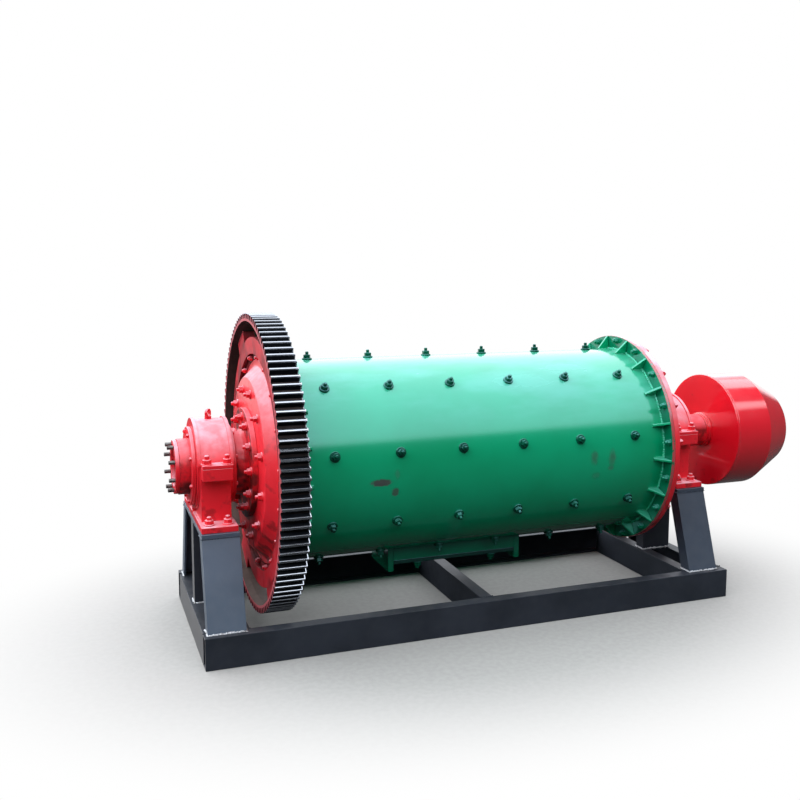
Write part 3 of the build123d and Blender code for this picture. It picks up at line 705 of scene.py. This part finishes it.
# %% Bolts on the drum
def piece(name, meshes, body):
    """One object made of these meshes, riding on a body."""
    bm = bmesh.new()
    for mesh in meshes:
        bm.from_mesh(mesh)
    for face in bm.faces:
        face.material_index = 0
    joined = bpy.data.meshes.new(name)
    bm.to_mesh(joined)
    bm.free()
    joined.materials.append(next(m for m in meshes[0].materials if m))
    made = bpy.data.objects.new(name, joined)
    bpy.context.collection.objects.link(made)
    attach(made, body)
    print(name, len(joined.polygons), "faces")
    return made


def ring(bolt, material, count, radius, station, facing, first=0.0, seed=1):
    """A ring of bolts about the mill axis, the first one at an angle in degrees."""
    return rows.run({"Bolt": bolt, "Material": material, "Rows": count, "Per Row": 1,
                     "First Angle": math.radians(first), "First Station": station, "Station Step": 0.0,
                     "Radius": radius, "Axis Height": axis_z, "Facing": facing, "Seed": seed})


LINER_ROWS = 9
LINER_PER_ROW = 6
LINER_ANGLE = 8.5
LINER_FIRST_X = -0.7466
LINER_STEP_X = 0.2972
LINER_SUNK = 0.0008
liner = rows.run({"Bolt": liner_nut, "Material": green_nuts, "Rows": LINER_ROWS, "Per Row": LINER_PER_ROW,
                  "First Angle": math.radians(LINER_ANGLE), "First Station": LINER_FIRST_X,
                  "Station Step": LINER_STEP_X, "Radius": shell_r - LINER_SUNK, "Axis Height": axis_z,
                  "Facing": 0.0, "Seed": 3})
FLANGE_BOLTS = 18
FLANGE_BOLT_R = 0.508
FLANGE_BOLT_ANGLE = 13.5
flange_nut = nut("flange_nut", corner=0.0150, height=0.016, stud=0.0088, stud_end=0.009,
                 washer=0.0165, washer_height=0.004)
flange_rings = [ring(flange_nut, green_bolts, FLANGE_BOLTS, FLANGE_BOLT_R, side * shell_end, -side,
                     first=FLANGE_BOLT_ANGLE, seed=5) for side in (-1, 1)]
piece("drum_bolts", [liner], "drum")
piece("flange_bolts", flange_rings, "drum")

# %% [markdown]
# ## Red nuts at both ends
# The covers carry three circles of nuts: those that clamp cover, gear and flange, those that hold the end
# liners, and those of the trunnion flange. They were painted with the casting, so they share its red. All
# are rings, so the first tree sets them, and one piece holds them because they turn together.

# %% Bolts on the covers
COVER_NUTS = 12
LINER_CIRCLE_R = 0.335
TRUNNION_CIRCLE_R = 0.210
TRUNNION_FLANGE = 0.025
CLAMP_CIRCLE_R = 0.4825
FEED_RIM_X = 0.946
cover_nut = nut("cover_nut", corner=0.0165, height=0.015, stud=0.0085, stud_end=0.012,
                washer=0.0205, washer_height=0.005)
clamp_nut = nut("clamp_nut", corner=0.0130, height=0.013, stud=0.0080, stud_end=0.008)
cover_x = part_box("feed_end_cover")[1].x
trunnion_x = cover_x + TRUNNION_FLANGE
end_rings = []
for side in (-1, 1):
    end_rings.append(ring(cover_nut, red_cast, COVER_NUTS, LINER_CIRCLE_R, side * cover_x, side,
                          first=180 / COVER_NUTS, seed=7))
    end_rings.append(ring(cover_nut, red_cast, COVER_NUTS, TRUNNION_CIRCLE_R, side * trunnion_x, side,
                          seed=8))
end_rings.append(ring(clamp_nut, red_cast, FLANGE_BOLTS, CLAMP_CIRCLE_R, GEAR_RECESS_X, -1,
                      first=FLANGE_BOLT_ANGLE, seed=9))
end_rings.append(ring(flange_nut, red_cast, FLANGE_BOLTS, FLANGE_BOLT_R, FEED_RIM_X, 1,
                      first=FLANGE_BOLT_ANGLE, seed=10))
piece("cover_bolts", end_rings, "drum")

# %% [markdown]
# ## Bolts under the manhole and on the gear joint
# Four bolts hold the manhole cover up against its frame, so their nuts hang below it. The two halves of the
# gear are drawn together by small bolts through the lugs, in rows of three on both sides of each arm. Such
# bolts stand at loose points, so the second tree sets them.

# %% Bolts on the manhole and the gear lugs
def points(bolt, material, spots, seed=1):
    """Bolts at loose points; each spot is a position and a direction."""
    mesh = bpy.data.meshes.new("spots")
    mesh.from_pydata([spot[0] for spot in spots], [], [])
    facings = mesh.attributes.new("facing", "FLOAT_VECTOR", "POINT")
    for item, spot in zip(facings.data, spots):
        item.vector = spot[1]
    return loose.run({"Bolt": bolt, "Material": material, "Seed": seed}, mesh)


HATCH_BOLT_X = 0.195
HATCH_BOLT_INSET = 0.0125
cover_low, cover_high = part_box("manhole_cover")
hatch_nut = nut("hatch_nut", corner=0.0180, height=0.018, stud=0.0095, stud_end=0.012,
                washer=0.0220, washer_height=0.004)
hatch_x = (cover_low.x + cover_high.x) / 2
hatch_rows = (cover_low.y + HATCH_BOLT_INSET, cover_high.y - HATCH_BOLT_INSET)
hatch_spots = [((hatch_x + dx * HATCH_BOLT_X, y, cover_low.z), (0, 0, -1))
               for dx in (-1, 1) for y in hatch_rows]
piece("manhole_bolts", [points(hatch_nut, green_nuts, hatch_spots, 12)], "drum")

LUG_WIDTH = 0.034
LUG_STATIONS = (-1.0092, -0.9368)
LUG_RADII = (0.585, 0.6035, 0.622)
lug_nut = nut("lug_nut", corner=0.0084, height=0.008, stud=0.0048, stud_end=0.005)
lug_spots = [((x, side * radius, axis_z + up * LUG_WIDTH), (0, 0, up))
             for x in LUG_STATIONS for side in (-1, 1) for up in (-1, 1) for radius in LUG_RADII]
piece("gear_joint_bolts", [points(lug_nut, red_neck, lug_spots, 13)], "drum")

# %% [markdown]
# ## Bolts on the bearings
# Cap and housing are clamped by four tall bolts through the ears, the housing stands on four foot bolts,
# and eight small screws hold each side cover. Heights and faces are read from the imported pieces, so the
# bolts stay on them whatever their size: loose points for the tall ones, rings for the screws.

# %% Bolts on the bearings
EAR_HEIGHT = 0.014
EAR_BOLT_X, EAR_BOLT_Y = 0.043, 0.240
FOOT_HEIGHT = 0.027
FOOT_BOLT_X, FOOT_BOLT_Y = 0.040, 0.252
SIDE_SCREWS = 8
SIDE_SCREW_R = 0.160
ear_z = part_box("bearing_left_cap")[0].z + EAR_HEIGHT
foot_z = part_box("bearing_left_lower_housing")[0].z + FOOT_HEIGHT
ear_nut = nut("ear_nut", corner=0.0195, height=0.020, stud=0.0110, stud_end=0.018,
              washer=0.0230, washer_height=0.004)
foot_nut = nut("foot_nut", corner=0.0195, height=0.018, stud=0.0105, stud_end=0.014,
               washer=0.0245, washer_height=0.005)
side_nut = nut("side_nut", corner=0.0095, height=0.008, stud=0.0050, stud_end=0.002)
ears, feet, sides = [], [], []
for side in ("left", "right"):
    low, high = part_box(f"bearing_{side}_cap")
    centre = (low.x + high.x) / 2
    for dx in (-1, 1):
        for dy in (-1, 1):
            ears.append(((centre + dx * EAR_BOLT_X, dy * EAR_BOLT_Y, ear_z), (0, 0, 1)))
            feet.append(((centre + dx * FOOT_BOLT_X, dy * FOOT_BOLT_Y, foot_z), (0, 0, 1)))
    for cover, way in (("outer", 1), ("inner", -1)):
        low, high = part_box(f"bearing_{side}_{cover}_cover")
        way = way if side == "right" else -way
        face = high.x if way > 0 else low.x
        sides.append(ring(side_nut, red_cast, SIDE_SCREWS, SIDE_SCREW_R, face, way,
                          first=180 / SIDE_SCREWS, seed=11))
piece("bearing_bolts", [points(ear_nut, red_cast, ears), points(foot_nut, red_cast, feet), *sides],
      "base")

# %% [markdown]
# ## Weld beads
# A bead is a row of overlapping ripples, laid along a path. The tree turns each path into a curve, sweeps a
# thin tube along it and drops a flattened ball of slightly random size at every step. Beads at the feet of
# the legs were left bare and shine, the others were painted over.

# %% The weld tree
RIPPLE_LEAST = (0.55, 0.55, 0.75)
RIPPLE_MOST = (1.35, 1.35, 1.2)
TUBE = 0.7
weld = Tree("weld_bead", {"Material": "Material", "Bead": "Float", "Step": "Float", "Seed": "Int"})
path = weld.node("GeometryNodeMeshToCurve", sockets={"Mesh": weld.given("Geometry")})
dots = weld.node("GeometryNodeCurveToPoints", {"mode": "LENGTH"},
                 {"Curve": path, "Length": weld.given("Step")})
heading = Wire(weld, dots.socket.node.outputs["Rotation"])
size = weld.node("FunctionNodeRandomValue", {"data_type": "FLOAT_VECTOR"},
                 {0: RIPPLE_LEAST, 1: RIPPLE_MOST, 8: weld.given("Seed")})
scale = weld.node("ShaderNodeVectorMath", {"operation": "SCALE"}, {0: size, "Scale": weld.given("Bead")})
ball = weld.node("GeometryNodeMeshUVSphere", sockets={"Segments": 8, "Rings": 5, "Radius": 1.0})
ripples = weld.node("GeometryNodeInstanceOnPoints",
                    sockets={"Points": dots, "Instance": ball, "Rotation": heading, "Scale": scale})
thin = weld.node("GeometryNodeCurvePrimitiveCircle",
                 sockets={"Resolution": 6, "Radius": weld.given("Bead") * TUBE})
tube = weld.node("GeometryNodeCurveToMesh",
                 sockets={"Curve": path, "Profile Curve": thin, "Fill Caps": True})
both = weld.node("GeometryNodeJoinGeometry")
for part in (tube, ripples):
    weld.tree.links.new(part.socket, both.socket.node.inputs[0])
weld.end(weld.node("GeometryNodeSetShadeSmooth", sockets={"Geometry": both}))


def bead(material, paths, size, step, seed=1):
    """Beads along these paths, each a list of points; a path that ends where it began is closed."""
    corners, edges = [], []
    for path in paths:
        start = len(corners)
        closed = path[0] == path[-1]
        kept = path[:-1] if closed else path
        corners += kept
        edges += [(start + k, start + k + 1) for k in range(len(kept) - 1)]
        if closed:
            edges.append((start + len(kept) - 1, start))
    mesh = bpy.data.meshes.new("paths")
    mesh.from_pydata(corners, edges, [])
    return weld.run({"Material": material, "Bead": size, "Step": step, "Seed": seed}, mesh)


def hoop(x, radius, count=144):
    """A closed circle about the mill axis."""
    turns = [2 * math.pi * (k % count) / count for k in range(count + 1)]
    return [(x, radius * math.cos(t), axis_z + radius * math.sin(t)) for t in turns]


print("one tree for welds")

# %% [markdown]
# ## Welds on the pedestals
# Legs and columns stand on the skid and carry the top plates. Their outlines at both heights are read from
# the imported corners, so a bead runs exactly where two pieces meet.

# %% Welds on the pedestals
LEVEL = 0.001


def foot_box(node, z, near_x=None):
    """Lowest and highest x and y of a piece's corners at height z, on one side of the mill if asked."""
    spots = [v.co for v in frame["nodes"][node].data.vertices
             if abs(v.co.z - z) < LEVEL and (near_x is None or v.co.x * near_x > 0)]
    along, across = [p.x for p in spots], [p.y for p in spots]
    return min(along), max(along), min(across), max(across)


def three_sides(node, z, out):
    """Path round a leg at height z, open towards the middle of the mill."""
    x0, x1, y0, y1 = foot_box(node, z)
    near, far = (y0, y1) if out < 0 else (y1, y0)
    return [(x0, far, z), (x0, near, z), (x1, near, z), (x1, far, z)]


beam_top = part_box("frame_long_beam_front")[1].z
plate_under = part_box("pedestal_left_top_plate")[0].z
bare_paths, grey_paths = [], []
for side, sign in (("left", -1), ("right", 1)):
    for place, out in (("front", -1), ("back", 1)):
        bare_paths.append(three_sides(f"pedestal_{side}_{place}_leg", beam_top, out))
        grey_paths.append(three_sides(f"pedestal_{side}_{place}_leg", plate_under, out))
    x0, x1, y0, y1 = foot_box("pedestal_columns", beam_top, sign)
    bare_paths.append([(x0, y0, beam_top), (x1, y0, beam_top), (x1, y1, beam_top), (x0, y1, beam_top),
                       (x0, y0, beam_top)])
foot_beads = bead(weld_silver, bare_paths, size=0.0062, step=0.0075)
head_beads = bead(pedestal_grey, grey_paths, size=0.0040, step=0.0060)
piece("pedestal_foot_welds", [foot_beads], "base")
piece("pedestal_head_welds", [head_beads], "base")

# %% [markdown]
# ## Welds on the drum
# A flange is joined to the shell by a heavy bead all round, and every gusset by a short bead on each side.
# The manhole frame has one along its front and its back. All were painted with the drum, a little thinner.
# The paths follow from the shell's radius and the gussets' angles, and the weld tree does the rest.

# %% Welds on the drum
GUSSETS = 18
GUSSET_ANGLE = 3.5
GUSSET_HALF = 0.0068
INSET = 0.002
flange_hoops = [hoop(side * (shell_end - INSET), shell_r + INSET) for side in (-1, 1)]
gusset_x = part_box("flange_gussets_right")[0].x
gusset_paths = []
for k in range(GUSSETS):
    turn = math.radians(GUSSET_ANGLE + 360 / GUSSETS * k)
    for side in (-1, 1):
        for way in (-1, 1):
            off = way * GUSSET_HALF
            y = shell_r * math.cos(turn) - off * math.sin(turn)
            z = axis_z + shell_r * math.sin(turn) + off * math.cos(turn)
            gusset_paths.append([(side * (gusset_x + INSET), y, z), (side * (shell_end - 2 * INSET), y, z)])
hatch_low, hatch_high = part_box("manhole_frame")
hatch_z = axis_z - math.sqrt(shell_r ** 2 - hatch_high.y ** 2)
hatch_paths = [[(hatch_low.x, y, hatch_z), (hatch_high.x, y, hatch_z)] for y in (hatch_low.y, hatch_high.y)]
# The bead round each flange is a lighter green, a painted highlight.
piece("drum_welds", [bead(green_weld, flange_hoops, size=0.0062, step=0.0085)], "drum")
piece("gusset_welds", [bead(green, gusset_paths, size=0.0032, step=0.0060)], "drum")
piece("manhole_welds", [bead(green_hatch, hatch_paths, size=0.0040, step=0.0070)], "drum")

# %% [markdown]
# ## Welds on the feeder and the skid
# A fine bead closes the feeder's back plate, and each cross channel of the skid is welded to the long ones
# along its two upper edges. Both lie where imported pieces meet, so their boxes give the paths.

# %% Welds on the feeder and the skid
FEEDER_BEAD_IN = 0.0015
plate_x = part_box("feeder_back_plate")[1].x
feeder_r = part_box("feeder_back_plate")[1].y
feeder_hoop = hoop(plate_x, feeder_r - FEEDER_BEAD_IN)
piece("feeder_welds", [bead(red_sheet, [feeder_hoop], size=0.0022, step=0.0060)], "drum")
joint_paths = []
for node in frame["nodes"]:
    if node.startswith("frame_cross_beam"):
        low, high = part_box(node)
        joint_paths += [[(low.x, y, high.z), (high.x, y, high.z)] for y in (low.y, high.y)]
piece("frame_welds", [bead(frame_black, joint_paths, size=0.0035, step=0.0060)], "base")

# %% [markdown]
# ## Sky and background
# The mill stands under an even sky, so the light is a soft white dome, a little brighter on the left, with
# a dark wall low in front, higher on the right, and one dark strip above. Matt surfaces get this dome from
# the world. The camera sees plain white instead, and so do mirrored rays and rays through glass, which a
# Light Path node tells apart. Lamps could light the mill as well, but a dome leaves no hard shadows.

# %% Sky
SKY = 2.3
SKY_LEFT = 1.4
SKY_TINT = (0.95, 1.0, 1.07)
LEFT_SIDE = (-0.1, -0.7)
SKIRT = 0.08
WHITE = (1.0, 1.0, 1.0, 1.0)
# Where each wall begins and where it is full, along a direction of length 1.
FRONT_WALL = (0.25, -0.35)
RIGHT_WALL = (0.30, 0.55)
WALL_TOP = (0.46, 0.34)
WALL_BACK = (0.70, 0.40)
GABLE = (0.58, 0.64)
GABLE_TOP = (0.62, 0.52)
EAVE_NEAR = (-0.38, -0.28)
EAVE_FAR = (0.18, 0.08)


def background_rays(graph):
    """1 for rays that show the background: straight ones, mirrored ones and those through glass."""
    straight, mirrored, through = [graph.node("ShaderNodeLightPath", out=f"Is {kind} Ray")
                                   for kind in ("Camera", "Glossy", "Transmission")]
    return straight.larger(mirrored).larger(through)


def wall_mask(aside, depth, height):
    """1 where a direction meets one of the dark walls."""
    right = aside.band(*RIGHT_WALL) * depth.band(*WALL_BACK)
    walls = height.band(*WALL_TOP) * depth.band(*FRONT_WALL).larger(right)
    tall = height.band(*GABLE_TOP) * depth.band(*WALL_BACK)
    eave = depth.band(*EAVE_NEAR) * depth.band(*EAVE_FAR)
    return walls.larger(aside.band(*GABLE) * tall.larger(eave))


def sky_colour(level):
    """The faintly blue white of the sky at this strength."""
    return (*[level * tint for tint in SKY_TINT], 1.0)


world = bpy.data.worlds.new("sky")
world.use_nodes = True
bpy.context.scene.world = world
sky = Graph(world.node_tree)
world.node_tree.nodes.clear()
toward = sky.node("ShaderNodeTexCoord", out="Generated")
aside, depth, height = [sky.node("ShaderNodeSeparateXYZ", sockets={0: toward}, out=axis) for axis in "XYZ"]
shade = wall_mask(aside, depth, height)
direct = background_rays(sky)
dome = SKY * (1.0 + (SKY_LEFT - 1.0) * aside.band(*LEFT_SIDE)) * (1.0 - shade) + SKIRT * shade
strength = dome * (1.0 - direct) + direct
hue = sky.node("ShaderNodeMix", {"data_type": "RGBA"}, {0: direct, 6: sky_colour(1.0), 7: WHITE}, out=2)
background = sky.node("ShaderNodeBackground", sockets={"Color": hue, "Strength": strength})
sky.node("ShaderNodeOutputWorld", sockets={"Surface": background})
bpy.context.scene.view_settings.view_transform = "Standard"
print("sky of", SKY, "over walls of", SKIRT)

# %% [markdown]
# ## The floor
# A plain pale floor fades to white at a distance and keeps the shadow near the mill. Light that bounces off
# it onto the mill comes from dark ground, as outdoors, so its matt colour is a dark one.

# %% Floor
def stage_piece(name, mesh, material):
    """An object that belongs to the stage, not to the mill."""
    mesh.materials.append(material)
    made = bpy.data.objects.new(name, mesh)
    bpy.context.collection.objects.link(made)
    made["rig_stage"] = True
    return made


FLOOR_HALF = 60
FADE_X, FADE_Y = 3.0, 2.0
FADE = (0.42, 0.85)
DARK_GROUND = srgb(58, 58, 57)


def sheet(name, back, z):
    """A level rectangle, very wide, that ends at a distance behind the mill."""
    mesh = bpy.data.meshes.new(name)
    mesh.from_pydata([(-FLOOR_HALF, -FLOOR_HALF, z), (FLOOR_HALF, -FLOOR_HALF, z),
                      (FLOOR_HALF, back, z), (-FLOOR_HALF, back, z)], [], [(0, 1, 2, 3)])
    return mesh


ground = Finish("floor")
grain = ground.noise(40.0, 5.0)
seen = background_rays(ground)
pale = ground.mix(grain.band(0.3, 0.7), srgb(170, 168, 164), srgb(164, 162, 158))
pale = ground.mix(seen, DARK_GROUND, pale)
near_shader = ground.node("ShaderNodeBsdfDiffuse", sockets={"Color": pale})
white = ground.node("ShaderNodeEmission", sockets={"Color": WHITE, "Strength": 1.0})
away = (ground.x * ground.x / FADE_X ** 2 + ground.y * ground.y / FADE_Y ** 2).apply("SQRT")
floor_mix = ground.node("ShaderNodeMixShader",
                        sockets={0: away.band(*FADE) * seen, 1: near_shader, 2: white})
ground.node("ShaderNodeOutputMaterial", sockets={"Surface": floor_mix})
stage_piece("floor", sheet("floor", FLOOR_HALF, 0), ground.material)
print("floor of", 2 * FLOOR_HALF, "m")

# %% [markdown]
# ## Cards for the gloss
# Gloss paint shows what stands around it. So the mill gets what a photographer would set up: a bright cloth
# overhead, dark cards low in front and on the right, and a dark mat round the mill. They draw the sharp
# horizon along the drum and the bands on the feeder. Only mirrored rays meet them. Between them, low on the
# left and behind, the white background shows in the paint and the steel.

# %% Cards and mat
CARDS_R = 50.0
OVERHEAD = (0.10, 0.25)
MAT_UP = 0.002
MAT_BACK = 8.0
cards = Finish("cards")
aside, depth, height = cards.x / CARDS_R, cards.y / CARDS_R, cards.z / CARDS_R
shade = wall_mask(aside, depth, height)
cloth = cards.mix(aside.band(*LEFT_SIDE), sky_colour(SKY), sky_colour(SKY * SKY_LEFT))
shown = cards.mix(shade, cloth, sky_colour(SKIRT))
lit = cards.node("ShaderNodeEmission", sockets={"Color": shown, "Strength": 1.0})
clear = cards.node("ShaderNodeBsdfTransparent")
card_mix = cards.node("ShaderNodeMixShader",
                      sockets={0: shade.larger(height.band(*OVERHEAD)), 1: clear, 2: lit})
cards.node("ShaderNodeOutputMaterial", sockets={"Surface": card_mix})
bm = bmesh.new()
bmesh.ops.create_icosphere(bm, subdivisions=5, radius=CARDS_R)
globe = bpy.data.meshes.new("cards")
bm.to_mesh(globe)
bm.free()

mat_finish = Finish("mat")
mat_shader = mat_finish.node("ShaderNodeBsdfDiffuse", sockets={"Color": DARK_GROUND})
mat_finish.node("ShaderNodeOutputMaterial", sockets={"Surface": mat_shader})
for card in (stage_piece("cards", globe, cards.material),
             stage_piece("mat", sheet("mat", MAT_BACK, MAT_UP), mat_finish.material)):
    for kind in ("camera", "diffuse", "transmission", "volume_scatter", "shadow"):
        setattr(card, "visible_" + kind, False)
print("cards at", CARDS_R, "m and a mat, for mirrored rays alone")

# %% [markdown]
# ## The camera
# The photographer stood in front of the discharge end at eye height. The position, the turn and the lens
# were worked out from edges of the mill in the photograph.

# %% Camera and the visual box
camera_data = bpy.data.cameras.new("camera")
camera_data.sensor_width = 36.0
camera_data.lens = 41.77
camera_data.shift_x = 0.0029
camera_data.shift_y = -0.0397
camera = bpy.data.objects.new("camera", camera_data)
camera.location = (-1.810, -4.175, 1.687)
camera.rotation_euler = (math.radians(90 - 6.569), math.radians(-0.112), math.radians(-19.853))
bpy.context.collection.objects.link(camera)
bpy.context.scene.camera = camera

low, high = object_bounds()
print("visual box", [round(v, 4) for v in (*low, *high)])
